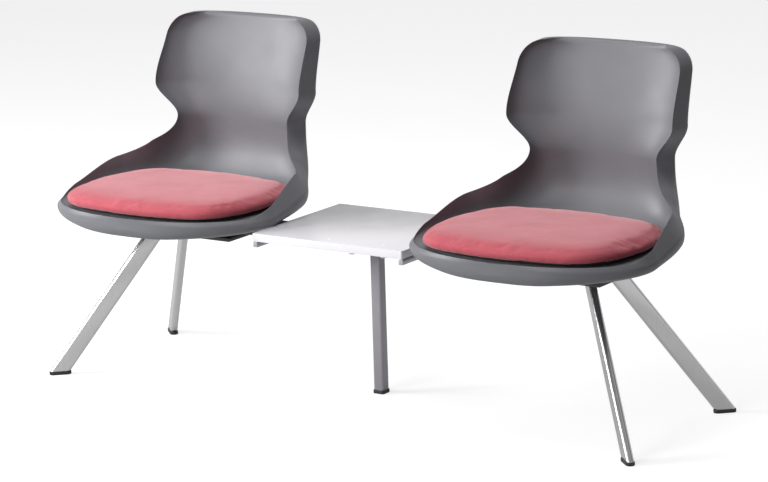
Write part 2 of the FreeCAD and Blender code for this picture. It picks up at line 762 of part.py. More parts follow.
def pad(label, offset):
    """The upholstered pad: drawn-in underside, full sides and a low crown."""
    thick = size("pad_thick")
    draw_in = size("pad_draw_in")
    edge_round = size("pad_edge_round")
    rings = [(draw_in, 0), (draw_in * PAD_FOOT_INSET, thick * PAD_FOOT), (0, thick * PAD_FULLEST)]
    for step in range(1, PAD_EDGE_STEPS + 1):
        angle = math.pi / 2 * step / PAD_EDGE_STEPS
        rise = thick * (PAD_FULLEST + (1 - PAD_FULLEST) * math.sin(angle))
        rings.append((edge_round * (1 - math.cos(angle)), rise))
    for share in PAD_CROWN_SHARES:
        inset = edge_round + size("pad_shoulder") * share
        rings.append((inset, thick + size("pad_crown") * (1 - (1 - share) ** 2)))
    wires = [pad_outline(inset, size("pad_bottom") + rise) for inset, rise in rings]
    return made(label, Part.makeLoft(wires, True, True), offset)


# Legs: flat oval tubes that lean out to the feet


def oval(long, wide, level, x, y, turn):
    """An oval with half-round ends, turned in plan."""
    reach = (long - wide) / 2
    radius = wide / 2
    edges = [
        Part.makeLine(Vector(-reach, -radius, 0), Vector(reach, -radius, 0)),
        Part.Arc(Vector(reach, -radius, 0), Vector(reach + radius, 0, 0),
                 Vector(reach, radius, 0)).toShape(),
        Part.makeLine(Vector(reach, radius, 0), Vector(-reach, radius, 0)),
        Part.Arc(Vector(-reach, radius, 0), Vector(-reach - radius, 0, 0),
                 Vector(-reach, -radius, 0)).toShape(),
    ]
    face = Part.Face(Part.Wire(edges))
    face.Placement = Placement(Vector(x, y, level), Rotation(Vector(0, 0, 1), turn))
    return face


class Leg:
    """One leg's line from its foot to the saddle, on the side given by two signs."""

    def __init__(self, side_x, side_y):
        self.foot = Vector(side_x * size("foot_reach_x"), side_y * size("foot_reach_y"), 0)
        top_x = side_x * size("leg_top_x")
        top_y = side_y * size("leg_top_y")
        self.top = Vector(top_x, top_y, size("saddle_bottom"))
        run = self.top - self.foot
        self.slope = run * (1 / run.z)
        self.turn = math.degrees(math.atan2(run.y, run.x))

    def at(self, level):
        return self.foot + self.slope * level

    def prism(self, long, wide, low, high):
        start = self.at(low)
        face = oval(long, wide, low, start.x, start.y, self.turn)
        return face.extrude(self.slope * (high - low))


def leg(label, side_x, side_y):
    line = Leg(side_x, side_y)
    low = size("foot_cap_high")
    long = size("leg_wide")
    wide = size("leg_thick")
    wall = size("leg_wall")
    outside = line.prism(long, wide, low, size("saddle_bottom"))
    inside = line.prism(long - 2 * wall, wide - 2 * wall, low, size("saddle_bottom"))
    return made(label, outside.cut(inside))


def foot_cap(label, side_x, side_y):
    """A black plastic foot, flat on the floor, with a plug up into its leg."""
    line = Leg(side_x, side_y)
    high = size("foot_cap_high")
    lip = size("foot_cap_lip")
    long = size("leg_wide") + 2 * lip
    wide = size("leg_thick") + 2 * lip
    start = line.at(high)
    shoe = oval(long, wide, 0, start.x, start.y, line.turn).extrude(Vector(0, 0, high))
    slack = 2 * size("leg_wall") + 2 * size("thread_gap")
    plug = line.prism(size("leg_wide") - slack, size("leg_thick") - slack, high,
                      high + size("foot_plug_high"))
    return made(label, shoe.fuse(plug).removeSplitter())


# Clamp bolts: hexagon head on top, shank beside the beam, nut underneath


def clamp_bolts(label, offset, pitch, top, bottom):
    """Four bolts in a rectangle about an offset, through the plates above and below the beam."""
    solids = []
    nuts = []
    for side_x in (-1, 1):
        for side_y in (-1, 1):
            tag = "%s_%s%s" % (label, "wx"[side_x > 0], "sn"[side_y > 0])
            x = offset + " + %d * %s / 2" % (side_x, pitch)
            y = "%d * clamp_bolt_y" % side_y
            head = hexagon(tag + "_head", "clamp_head", "clamp_head_high", (x, y, top))
            end = bottom + " - clamp_nut_high"
            shank = cylinder(tag + "_shank", "clamp_bolt", top + " - ( " + end + " )", (x, y, end))
            solids.append(fused(tag + "_bolt", [head, shank]))
            bore = "clamp_bolt + 2 * thread_gap"
            nuts.append(hexagon(tag + "_nut", "clamp_head", "clamp_nut_high", (x, y, end), bore))
    group(label + "_bolts", solids)
    group(label + "_nuts", nuts)


def beam_end_cap(label, side):
    """A plastic cap: a flange on the beam's end and a plug inside it."""
    deep = size("beam_depth")
    high = size("beam_height")
    slack = size("beam_wall") + size("thread_gap")
    thick = size("end_cap_thick")
    reach = size("end_cap_plug")
    flange = Part.makeBox(thick, deep, high, Vector(0, -deep / 2, 0))
    edges = [e for e in flange.Edges if abs(e.tangentAt(e.FirstParameter).x) > 0.9]
    flange = flange.makeFillet(size("beam_round"), edges)
    rim = [e for e in flange.Edges if abs(e.CenterOfMass.x - thick) < 1e-6]
    flange = flange.makeChamfer(size("end_cap_edge"), rim)
    plug = Part.makeBox(reach, deep - 2 * slack, high - 2 * slack,
                        Vector(-reach, slack - deep / 2, slack))
    cap = flange.fuse(plug).removeSplitter()
    if side < 0:
        cap = cap.mirror(Vector(0, 0, 0), Vector(1, 0, 0))
    return made(label, cap, "%d * beam_half_long" % side, "0", "beam_bottom")


def seat_rail(label, offset, side):
    """A rectangular tube across the beam, drilled for the seat screws."""
    wide = size("rail_wide")
    high = size("rail_high")
    wall = size("rail_wall")
    long = size("rail_long")
    rail = Part.makeBox(wide, long, high, Vector(-wide / 2, 0, 0))
    rail = rail.cut(Part.makeBox(wide - 2 * wall, long, high - 2 * wall,
                                 Vector(wall - wide / 2, 0, wall)))
    bore = size("seat_screw") + 2 * size("hole_gap")
    for y in (size("seat_screw_inset"), long - size("seat_screw_inset")):
        rail = rail.cut(upright(bore, 0, y, -wall, high + wall))
    return made(label, rail, offset + " + %d * rail_pitch / 2" % side, "rail_front", "plate_top")


def seat_screws(label, offset):
    """Screws up through the rails into the shell's bosses."""
    screws = []
    low = size("plate_top")
    for x, y in seat_screw_places():
        tip = size("rail_top") + size("boss_grip") - size("tip_gap")
        shank = upright(size("seat_screw"), x, y, low, tip)
        head = upright(size("seat_screw_head"), x, y, low - size("seat_screw_head_high"), low)
        screws.append(shank.fuse(head))
    return made(label, Part.makeCompound(screws), offset)


def table_screws(label):
    screws = []
    low = size("beam_top")
    reach_x = size("table_plate_long") / 2 - size("table_screw_inset")
    reach_y = size("table_plate_deep") / 2 - size("table_screw_inset")
    for x, y in [(sx * reach_x, sy * reach_y) for sx in (-1, 1) for sy in (-1, 1)]:
        shank = upright(size("table_screw"), x, y, low, size("plate_top") + size("table_screw_grip"))
        head = upright(size("table_screw_head"), x, y, low - size("table_screw_head_high"), low)
        screws.append(shank.fuse(head))
    return made(label, Part.makeCompound(screws))


def table_top():
    """The table top with rounded corners, drilled underneath for screws and bolt heads."""
    body = DOC.addObject("PartDesign::Body", "table_top")
    sketch = new_sketch(body, "XY_Plane", "table_outline")
    add_rectangle(sketch, "table_long", "table_deep", "outline", "- table_front")
    slab = padded(body, sketch, "table_thick")
    round_edges(body, slab, Vector(0, 0, 1), "table_round")
    screw_x = "table_plate_long / 2 - table_screw_inset"
    screw_y = "table_plate_deep / 2 - table_screw_inset"
    head = "clamp_head / cos( 30 deg ) + 2 * hole_gap"
    drill_under(body, "table_screw_holes", screw_x, screw_y, "table_screw + 2 * thread_gap",
                "table_screw_grip + tip_gap")
    drill_under(body, "bolt_head_holes", "post_bolt_pitch / 2", "clamp_bolt_y", head,
                "clamp_head_high + tip_gap")
    bind_place(body, "0", "0", "table_bottom")
    return sub_part(body, "table_top")


def drill_under(body, name, from_x, from_y, diameter, depth):
    """Four blind holes up into a body's underside, in a rectangle about its origin."""
    solid_before = body.Tip.Shape.Volume
    sketch = new_sketch(body, "XY_Plane", name + "_sketch")
    for side_x in (-1, 1):
        for side_y in (-1, 1):
            tag = "hole_%s%s" % ("wx"[side_x > 0], "sn"[side_y > 0])
            add_hole(sketch, side_x, side_y, from_x, from_y, diameter, tag)
    pocket = body.newObject("PartDesign::Pocket", name)
    pocket.Profile = sketch
    pocket.Reversed = True
    bind(pocket, "Length", depth)
    DOC.recompute()
    if pocket.Shape.Volume >= solid_before:
        raise RuntimeError(name + " cut nothing")


def end_rail(label, side):
    """A flat rail under an end of the table, notched over the beam."""
    x = "table_half_long - end_rail_wide" if side > 0 else "- table_half_long"
    bar = DOC.addObject("Part::Box", label + "_bar")
    bind(bar, "Length", "end_rail_wide")
    bind(bar, "Width", "table_deep - 2 * table_round")
    bind(bar, "Height", "end_rail_high")
    bind_place(bar, x, "table_front + table_round", "table_bottom - end_rail_high")
    notch = DOC.addObject("Part::Box", label + "_notch")
    bind(notch, "Length", "end_rail_wide")
    bind(notch, "Width", "beam_depth + 2 * hole_gap")
    bind(notch, "Height", "beam_height")
    bind_place(notch, x, "- beam_half_deep - hole_gap", "beam_bottom + hole_gap")
    rail = DOC.addObject("Part::Cut", label)
    rail.Base = bar
    rail.Tool = notch
    return sub_part(rail, label)


def side_parts(name, side, shell):
    """Everything that one seat needs, from its feet up; side is -1 or 1."""
    offset = "%d * seat_spacing / 2" % side
    hole = ("seat_bolt_pitch / 2", "clamp_bolt_y", "clamp_bolt + 2 * hole_gap")
    for row, side_y in (("front", -1), ("rear", 1)):
        foot_cap("foot_cap_%s_%s" % (name, row), side, side_y)
        leg("leg_%s_%s" % (name, row), side, side_y)
    plate("leg_saddle_" + name, "saddle_long", "saddle_deep", "saddle_thick",
          (offset, "0", "saddle_bottom"), [hole])
    beam_end_cap("beam_end_cap_" + name, side)
    plate("seat_plate_" + name, "seat_plate_long", "clamp_deep", "clamp_plate",
          (offset, "0", "beam_top"), [hole])
    clamp_bolts("clamp_" + name, offset, "seat_bolt_pitch", "plate_top", "saddle_bottom")
    for row, at in (("inner", -side), ("outer", side)):
        seat_rail("seat_rail_%s_%s" % (name, row), offset, at)
    seat_screws("seat_screws_" + name, offset)
    made("seat_shell_" + name, shell, offset)
    pad_base("pad_base_" + name, offset)
    pad_studs("pad_studs_" + name, offset)
    pad("seat_pad_" + name, offset)


def middle_parts():
    """The beam, the post that stands under its middle and the table over it."""
    tube("beam", "YZ_Plane", "beam_depth", "beam_height", "beam_wall", "beam_length",
         ("- beam_half_long", "0", "beam_bottom + beam_height / 2"), "beam_round")
    hole = ("post_bolt_pitch / 2", "clamp_bolt_y", "clamp_bolt + 2 * hole_gap")
    plate("post_flange", "post_flange_long", "clamp_deep", "clamp_plate",
          ("0", "0", "lower_plate_bottom"), [hole])
    tube("centre_post", "XY_Plane", "post_wide", "post_wide", "post_wall",
         "lower_plate_bottom - foot_cap_high", ("0", "0", "foot_cap_high"), "post_round")
    centre_foot()
    screw_x = "table_plate_long / 2 - table_screw_inset"
    screw_y = "table_plate_deep / 2 - table_screw_inset"
    screw_hole = (screw_x, screw_y, "table_screw + 2 * hole_gap")
    plate("table_bracket", "table_plate_long", "table_plate_deep", "clamp_plate",
          ("0", "0", "beam_top"), [hole, screw_hole])
    clamp_bolts("clamp_centre", "0", "post_bolt_pitch", "plate_top", "lower_plate_bottom")
    table_screws("table_screws")
    table_top()
    end_rail("table_end_rail_left", -1)
    end_rail("table_end_rail_right", 1)


def centre_foot():
    """The post's foot: a square plastic shoe with a plug up inside the tube."""
    high = size("foot_cap_high")
    wide = size("post_wide") + 2 * size("foot_cap_lip")
    shoe = Part.makeBox(wide, wide, high, Vector(-wide / 2, -wide / 2, 0))
    vertical = [e for e in shoe.Edges if abs(e.tangentAt(e.FirstParameter).z) > 0.9]
    shoe = shoe.makeFillet(size("post_round"), vertical)
    inside = size("post_wide") - 2 * size("post_wall") - 2 * size("thread_gap")
    plug = Part.makeBox(inside, inside, size("foot_plug_high"),
                        Vector(-inside / 2, -inside / 2, high))
    return made("foot_cap_centre", shoe.fuse(plug).removeSplitter())


def check_document():
    DOC.recompute()
    for item in DOC.Objects:
        if "Invalid" in item.State or "Error" in item.State:
            raise RuntimeError(item.Name + " failed to recompute")
    for item in SUB_PARTS:
        if item.Shape.isNull() or not item.Shape.isValid():
            raise RuntimeError(item.Label + " has no valid shape")


def write_parts():
    os.makedirs("parts", exist_ok=True)
    for item in SUB_PARTS:
        item.Shape.exportStep(os.path.join("parts", item.Label + ".step"))
        box = item.Shape.BoundBox
        print("%-24s %2d solid(s)  %8.1f cm3  z %.1f to %.1f" % (
            item.Label, len(item.Shape.Solids), item.Shape.Volume / 1000, box.ZMin, box.ZMax))


middle_parts()
seat_shell = seat_shell_shape()
side_parts("left", -1, seat_shell)
side_parts("right", 1, seat_shell)
check_document()
write_parts()
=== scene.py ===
import math

import bmesh
import bpy
import numpy as np
from mathutils import Matrix, Vector, noise


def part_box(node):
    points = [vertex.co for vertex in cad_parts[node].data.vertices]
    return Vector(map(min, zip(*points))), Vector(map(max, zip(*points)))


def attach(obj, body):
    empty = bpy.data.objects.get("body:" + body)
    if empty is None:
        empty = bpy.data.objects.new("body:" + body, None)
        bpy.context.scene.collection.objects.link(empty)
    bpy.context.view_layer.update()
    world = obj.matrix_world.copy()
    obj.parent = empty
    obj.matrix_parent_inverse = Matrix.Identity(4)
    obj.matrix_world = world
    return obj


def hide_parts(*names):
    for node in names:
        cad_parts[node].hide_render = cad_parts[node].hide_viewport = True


# A bench of two bucket seats and a small table on one beam. +Z up, the seats face -Y.
# The scene is in metres. The forms of shells and pads are written in millimetres, and MM turns
# them into metres where their points are made.

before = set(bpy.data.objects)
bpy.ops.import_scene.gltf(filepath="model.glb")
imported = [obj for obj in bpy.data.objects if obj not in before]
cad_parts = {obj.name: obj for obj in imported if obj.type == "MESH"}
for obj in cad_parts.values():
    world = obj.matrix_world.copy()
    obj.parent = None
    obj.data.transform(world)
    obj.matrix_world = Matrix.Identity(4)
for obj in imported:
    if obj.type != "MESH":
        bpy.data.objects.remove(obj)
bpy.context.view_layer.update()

SIDES = ("left", "right")
MM = 0.001
TINY = 1e-9


def centre_x(node):
    low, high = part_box(node)
    return (low.x + high.x) / 2


SEAT_X = {side: centre_x("seat_pad_" + side) for side in SIDES}


# Camera, at the photograph's angle, with its angles in radians


IMAGE_WIDE = 768
SENSOR_WIDE = 36.0
FOCAL_PIXELS = 3144.7
CAMERA_AZIMUTH = 0.592346
CAMERA_ELEVATION = 0.224057
CAMERA_ROLL = -0.029973
CAMERA_DISTANCE = 7.006535
CAMERA_TARGET = Vector((0.018886, 0.0, 0.352388))
CAMERA_REACH = 60.0


def camera_pose():
    back = Vector((
        math.sin(CAMERA_AZIMUTH) * math.cos(CAMERA_ELEVATION),
        -math.cos(CAMERA_AZIMUTH) * math.cos(CAMERA_ELEVATION),
        math.sin(CAMERA_ELEVATION),
    ))
    right = (-back).cross(Vector((0, 0, 1))).normalized()
    up = right.cross(-back)
    turned_right = math.cos(CAMERA_ROLL) * right + math.sin(CAMERA_ROLL) * up
    turned_up = math.cos(CAMERA_ROLL) * up - math.sin(CAMERA_ROLL) * right
    pose = Matrix((turned_right, turned_up, back)).transposed().to_4x4()
    pose.translation = CAMERA_TARGET + back * CAMERA_DISTANCE
    return pose


def add_camera():
    data = bpy.data.cameras.new("camera")
    data.sensor_width = SENSOR_WIDE
    data.lens = FOCAL_PIXELS / IMAGE_WIDE * SENSOR_WIDE
    data.clip_end = CAMERA_REACH
    camera = bpy.data.objects.new("camera", data)
    camera.matrix_world = camera_pose()
    bpy.context.scene.collection.objects.link(camera)
    bpy.context.scene.camera = camera


# Materials


class Nodes:
    """A short way to write the nodes of a material or a world."""

    def __init__(self, owner, output):
        owner.use_nodes = True
        self.owner = owner
        self.tree = owner.node_tree
        self.tree.nodes.clear()
        self.output = self.add(output)

    def add(self, kind, **settings):
        node = self.tree.nodes.new(kind)
        for name, value in settings.items():
            setattr(node, name, value)
        return node

    def link(self, source, target):
        self.tree.links.new(source, target)

    def put(self, node, **values):
        for name, value in values.items():
            node.inputs[name.replace("_", " ")].default_value = value

    def feed(self, socket, value):
        """Give a socket a number, a colour or what another node puts out."""
        if isinstance(value, (float, int)):
            socket.default_value = value
        elif isinstance(value, tuple):
            socket.default_value = (*value, 1)
        else:
            self.link(value, socket)

    def noise(self, scale, detail, stretch=(1, 1, 1)):
        coords = self.add("ShaderNodeTexCoord")
        mapping = self.add("ShaderNodeMapping")
        self.put(mapping, Scale=stretch)
        self.link(coords.outputs["Object"], mapping.inputs["Vector"])
        texture = self.add("ShaderNodeTexNoise")
        self.put(texture, Scale=scale, Detail=detail)
        self.link(mapping.outputs["Vector"], texture.inputs["Vector"])
        return texture.outputs["Fac"]

    def remap(self, value, given, wanted):
        """Turn one range of values into another."""
        node = self.add("ShaderNodeMapRange")
        self.put(node, From_Min=given[0], From_Max=given[1], To_Min=wanted[0], To_Max=wanted[1])
        self.link(value, node.inputs["Value"])
        return node.outputs["Result"]

    def spread(self, value, low, high):
        return self.remap(value, (0.0, 1.0), (low, high))

    def convex_edges(self, low, high):
        """0 on faces, 1 on convex edges."""
        geometry = self.add("ShaderNodeNewGeometry")
        return self.remap(geometry.outputs["Pointiness"], (low, high), (0.0, 1.0))

    def ramp(self, value, first, last):
        """Colours between two stops, each of them a position and a colour."""
        node = self.add("ShaderNodeValToRGB")
        for element, (position, colour) in zip(node.color_ramp.elements, (first, last)):
            element.position = position
            element.color = (*colour, 1)
        self.link(value, node.inputs["Fac"])
        return node.outputs["Color"]

    def calculate(self, operation, first, second):
        node = self.add("ShaderNodeMath", operation=operation)
        self.feed(node.inputs[0], first)
        self.feed(node.inputs[1], second)
        return node.outputs[0]

    def blend(self, share, first, second):
        """A blend of two numbers."""
        node = self.add("ShaderNodeMix")
        for socket, value in (("Factor", share), ("A", first), ("B", second)):
            self.feed(node.inputs[socket], value)
        return node.outputs["Result"]

    def mix(self, share, first, second):
        """A blend of two colours, which are the node's inputs 6 and 7."""
        node = self.add("ShaderNodeMix", data_type="RGBA")
        for slot, value in ((0, share), (6, first), (7, second)):
            self.feed(node.inputs[slot], value)
        return node.outputs[2]

    def bump(self, height, distance, strength, under=None):
        node = self.add("ShaderNodeBump")
        self.put(node, Distance=distance, Strength=strength)
        self.link(height, node.inputs["Height"])
        if under is not None:
            self.link(under, node.inputs["Normal"])
        return node.outputs["Normal"]

    def surface(self, colour, roughness, normal, **values):
        shader = self.add("ShaderNodeBsdfPrincipled")
        self.feed(shader.inputs["Base Color"], colour)
        self.feed(shader.inputs["Roughness"], roughness)
        self.feed(shader.inputs["Normal"], normal)
        self.put(shader, **values)
        self.link(shader.outputs["BSDF"], self.output.inputs["Surface"])


def new_material(name):
    return Nodes(bpy.data.materials.new(name), "ShaderNodeOutputMaterial")


SHELL_DARK = (0.138, 0.140, 0.154)
SHELL_PALE = (0.160, 0.162, 0.176)
# Edge colour of the shell: rubbed wear together with a painted highlight on its edges.
SHELL_RUBBED_AND_HIGHLIT = (0.235, 0.233, 0.242)
DYE_DARK = (0.42, 0.070, 0.095)
DYE_PALE = (0.48, 0.090, 0.115)
THREAD_TONE = (0.56, 0.165, 0.185)
NAP_TINT = (1.0, 0.82, 0.83, 1.0)
WEAVE_TILT = (0.35, 0.2)
WEAVE_TURNS = (math.radians(3), math.radians(93))
LAMINATE_DARK = (0.775, 0.760, 0.790)
LAMINATE_PALE = (0.815, 0.800, 0.830)
NO_DUST = (0.0, 0.0, 0.0)
DUST = (0.6, 0.6, 0.6)
DUST_GAIN = 2.2
DUST_ADDED = 0.01
RUBBED_GAIN = 1.35
RUBBED_ADDED = 0.03
PAINT_SHADE = 0.88
METAL_SHADE = 0.86
ALONG_Z = (9, 9, 0.5)
ALONG_Y = (9, 0.5, 9)
EVEN = (1, 1, 1)
SCRATCH = 0.00006
FINE_SCRATCH = 0.00003


def toned(colour, gain, added=0.0):
    return tuple(min(1.0, value * gain + added) for value in colour)


def shell_material():
    """Matte moulded plastic: fine grain, faint flow marks, convex edges a little lighter, partly
    rubbed wear and partly a painted highlight.
    """
    m = new_material("shell_plastic")
    colour = m.ramp(m.noise(scale=9.0, detail=4.0), (0.3, SHELL_DARK), (0.7, SHELL_PALE))
    # Lighter convex edges: rubbed wear together with a painted edge highlight.
    colour = m.mix(m.convex_edges(low=0.53, high=0.62), colour, SHELL_RUBBED_AND_HIGHLIT)
    roughness = m.spread(m.noise(scale=26.0, detail=3.0), low=0.40, high=0.50)
    grain = m.bump(m.noise(scale=1500.0, detail=1.0), distance=0.00012, strength=0.5)
    m.surface(colour, roughness, grain, Specular_IOR_Level=0.45)
    return m.owner


def weave(m):
    """Two sets of threads that cross each other."""
    coords = m.add("ShaderNodeTexCoord")
    threads = []
    for turn_angle in WEAVE_TURNS:
        mapping = m.add("ShaderNodeMapping")
        m.put(mapping, Rotation=(*WEAVE_TILT, turn_angle))
        m.link(coords.outputs["Object"], mapping.inputs["Vector"])
        wave = m.add("ShaderNodeTexWave", wave_type="BANDS", bands_direction="X")
        m.put(wave, Scale=240.0, Distortion=0.6, Detail=1.0, Detail_Scale=2.0)
        m.link(mapping.outputs["Vector"], wave.inputs["Vector"])
        threads.append(wave.outputs["Fac"])
    return m.calculate("MULTIPLY", *threads)


def fabric_material():
    """Woven upholstery: crossed threads, a hazy nap and uneven dye."""
    m = new_material("pad_fabric")
    threads = weave(m)
    dye = m.ramp(m.noise(scale=14.0, detail=5.0), (0.3, DYE_DARK), (0.7, DYE_PALE))
    colour = m.mix(m.spread(threads, low=0.0, high=0.35), dye, THREAD_TONE)
    normal = m.bump(threads, distance=0.0004, strength=0.45)
    folds = m.noise(scale=60.0, detail=4.0)
    normal = m.bump(folds, distance=0.0010, strength=0.35, under=normal)
    m.surface(colour, 0.9, normal, Specular_IOR_Level=0.2, Sheen_Weight=0.55,
              Sheen_Roughness=0.42, Sheen_Tint=NAP_TINT)
    return m.owner


def metal_material(name, colour, rough, stretch, scratch=SCRATCH):
    """Bare metal, brushed where its marks are stretched."""
    m = new_material(name)
    lines = m.noise(scale=60.0, detail=4.0, stretch=stretch)
    tone = m.mix(lines, toned(colour, METAL_SHADE), colour)
    roughness = m.spread(m.noise(scale=14.0, detail=3.0), *rough)
    marks = m.noise(scale=160.0, detail=3.0, stretch=stretch)
    normal = m.bump(marks, distance=scratch, strength=0.6)
    m.surface(tone, roughness, normal, Metallic=1.0)
    return m.owner


def paint_material(name, colour, rough, metallic=0.0):
    """Powder coat: slight orange peel, lighter where edges are rubbed."""
    m = new_material(name)
    tone = m.mix(m.noise(scale=11.0, detail=4.0), toned(colour, PAINT_SHADE), colour)
    rubbed = toned(colour, RUBBED_GAIN, RUBBED_ADDED)
    tone = m.mix(m.convex_edges(low=0.54, high=0.66), tone, rubbed)
    roughness = m.spread(m.noise(scale=30.0, detail=3.0), *rough)
    normal = m.bump(m.noise(scale=420.0, detail=2.0), distance=0.00012, strength=0.5)
    m.surface(tone, roughness, normal, Metallic=metallic)
    return m.owner


def laminate_material():
    """White laminate with a very fine satin texture and a few handling marks."""
    m = new_material("table_laminate")
    tone = m.ramp(m.noise(scale=5.0, detail=5.0), (0.35, LAMINATE_DARK), (0.65, LAMINATE_PALE))
    roughness = m.spread(m.noise(scale=22.0, detail=4.0), low=0.20, high=0.30)
    normal = m.bump(m.noise(scale=700.0, detail=2.0), distance=0.00004, strength=0.5)
    m.surface(tone, roughness, normal, Specular_IOR_Level=0.5, Coat_Weight=0.25,
              Coat_Roughness=0.12)
    return m.owner


def rubber_material(name, colour, rough):
    """Dark moulded plastic or rubber with a dusty, scuffed skin."""
    m = new_material(name)
    dust = m.ramp(m.noise(scale=35.0, detail=5.0), (0.45, NO_DUST), (0.8, DUST))
    tone = m.mix(dust, colour, toned(colour, DUST_GAIN, DUST_ADDED))
    roughness = m.spread(m.noise(scale=80.0, detail=3.0), *rough)
    normal = m.bump(m.noise(scale=900.0, detail=2.0), distance=0.0001, strength=0.5)
    m.surface(tone, roughness, normal)
    return m.owner


# Finishes: a material and the name of its slot


SHELL = (shell_material(), "shell")
FABRIC = (fabric_material(), "pad_fabric")
TABLE_WHITE = (laminate_material(), "table_white")
LEG_METAL = (
    metal_material("leg_metal", colour=(0.60, 0.595, 0.60), rough=(0.20, 0.30), stretch=ALONG_Z),
    "polished_leg",
)
RAIL_GREY = (
    metal_material("rail_grey", colour=(0.50, 0.50, 0.52), rough=(0.3, 0.42), stretch=ALONG_Y),
    "rail_grey",
)
ZINC = (
    metal_material("zinc", colour=(0.62, 0.62, 0.59), rough=(0.28, 0.45), stretch=EVEN,
                   scratch=FINE_SCRATCH),
    "zinc",
)
POST_METAL = (
    paint_material("post_paint", colour=(0.36, 0.345, 0.37), rough=(0.30, 0.40), metallic=0.55),
    "post_paint",
)
BEAM_PAINT = (
    paint_material("beam_paint", colour=(0.035, 0.035, 0.038), rough=(0.38, 0.5)),
    "beam_paint",
)
BRACKET_PAINT = (
    paint_material("bracket_paint", colour=(0.05, 0.05, 0.053), rough=(0.4, 0.52)),
    "bracket_paint",
)
BLACK = (
    rubber_material("black_plastic", colour=(0.012, 0.012, 0.013), rough=(0.42, 0.6)),
    "black_plastic",
)
BOARD = (
    rubber_material("pad_board", colour=(0.02, 0.02, 0.021), rough=(0.5, 0.7)),
    "pad_board",
)


# Mesh helpers


CAD_WELD = 1e-6
CAD_FLAT = math.radians(0.8)
CAD_SHARP = math.radians(38)
CAD_SMOOTH = math.radians(30)


def put_on_body(piece, finish, node):
    """Give a piece its finish, and let it stand for a node of the fixed body."""
    material, slot = finish
    piece.data.materials.clear()
    piece.data.materials.append(material)
    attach(piece, "root")
    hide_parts(node)


def new_piece(name, vertices, faces):
    data = bpy.data.meshes.new(name)
    data.from_pydata([tuple(v) for v in vertices], [], faces)
    data.validate()
    piece = bpy.data.objects.new(name, data)
    bpy.context.scene.collection.objects.link(piece)
    return piece


def walls(rings, count):
    """Faces between each ring of points and the next, all rings with the same count."""
    faces = []
    for ring in range(rings - 1):
        base = ring * count
        for k in range(count):
            after = (k + 1) % count
            faces.append((base + k, base + after, base + count + after, base + count + k))
    return faces


def smooth_faces(piece, angle):
    """Shade a piece smoothly, apart from edges sharper than the angle."""
    piece.data.polygons.foreach_set("use_smooth", [True] * len(piece.data.polygons))
    piece.data.set_sharp_from_angle(angle=angle)


def apply_modifiers(piece):
    graph = bpy.context.evaluated_depsgraph_get()
    data = bpy.data.meshes.new_from_object(piece.evaluated_get(graph), depsgraph=graph)
    piece.modifiers.clear()
    old = piece.data
    piece.data = data
    bpy.data.meshes.remove(old)


def bevelled(node, finish, width, segments=2):
    """A copy of a hard-edged CAD node with its edges broken, which stands for the node."""
    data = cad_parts[node].data.copy()
    data.name = node + "_finish"
    work = bmesh.new()
    work.from_mesh(data)
    bmesh.ops.remove_doubles(work, verts=work.verts, dist=CAD_WELD)
    bmesh.ops.dissolve_limit(work, angle_limit=CAD_FLAT, verts=work.verts, edges=work.edges)
    sharp = [edge for edge in work.edges
             if len(edge.link_faces) == 2 and edge.calc_face_angle(0) > CAD_SHARP]
    bmesh.ops.bevel(work, geom=sharp, offset=width, offset_type="OFFSET", segments=segments,
                    profile=0.5, affect="EDGES", clamp_overlap=True)
    work.to_mesh(data)
    work.free()
    piece = bpy.data.objects.new(node + "_finish", data)
    bpy.context.scene.collection.objects.link(piece)
    smooth_faces(piece, CAD_SMOOTH)
    put_on_body(piece, finish, node)


# Seat shell: closed sections along a travel from the front edge, round the bend, to the top.
# A section's points are (x, depth); depth is measured from the bend axis, down or backwards.


AXIS_Y = 20.0
AXIS_Z = 560.0
FRONT = -320.0
WIDEST = -135.0
BEND = 160.0
CORNER = 348.0
TOP = 400.0
TOP_CORNER = 52.0
SEAT_HALF = 280.0
FULLNESS = 2.15
EDGE_ROUND = 9.0
NOSE_HALF = 60.0
RIM_UNDER = 9.0


def smooth(points):
    """A curve through the points that never overshoots them."""
    xs = [p[0] for p in points]
    ys = [p[1] for p in points]
    steps = [b - a for a, b in zip(xs, xs[1:])]
    slopes = [(b - a) / step for a, b, step in zip(ys, ys[1:], steps)]
    tangents = [slopes[0]]
    for before, after in zip(slopes, slopes[1:]):
        level = before * after <= 0
        tangents.append(0.0 if level else 2 * before * after / (before + after))
    tangents.append(slopes[-1])

    def at(x):
        if x <= xs[0]:
            return ys[0]
        if x >= xs[-1]:
            return ys[-1]
        i = max(k for k in range(len(steps)) if xs[k] <= x)
        t = (x - xs[i]) / steps[i]
        rise = ys[i + 1] - ys[i]
        bend_start = tangents[i] * steps[i] - rise
        bend_end = rise - tangents[i + 1] * steps[i]
        return ys[i] + t * rise + t * (1 - t) * ((1 - t) * bend_start + t * bend_end)

    return at


# Each curve gives a size along the travel: half the inner width, the depth of the inner edge,
# how far the rim goes down and out from it, the depths of the inner and outer faces in the
# middle, and how square these faces are.

HALF = smooth([(WIDEST, 280), (0, 252), (80, 200), (166, 157), (243, 206), (CORNER, 201)])
EDGE = smooth([(-195, 143.5), (WIDEST, 124), (0, 79), (80, 73), (166, 104), (240, 87),
               (CORNER, 130), (TOP, 154)])
RIM = smooth([(-195, 10), (WIDEST, 28), (0, 43), (80, 31), (166, 46), (243, 56), (CORNER, 46),
              (TOP, 38)])
BULGE = smooth([(WIDEST, 12), (0, 27), (80, 21), (166, 20), (243, 5)])
INNER = smooth([(-20, 150.5), (0, 150.5), (44, 168.5), (80, 189), (96, 185), (BEND, 166),
                (TOP, 212)])
OUTER = smooth([(FRONT, 172), (FRONT + 4, 181), (FRONT + 12, 189), (FRONT + 26, 192), (0, 192),
                (80, 217), (BEND, 189), (TOP, 235)])
HOLLOW = smooth([(0, 6.0), (80, 4.0), (BEND, 2.4)])
SWELL = smooth([(WIDEST, 3.2), (0, 3.0), (BEND, 2.3)])


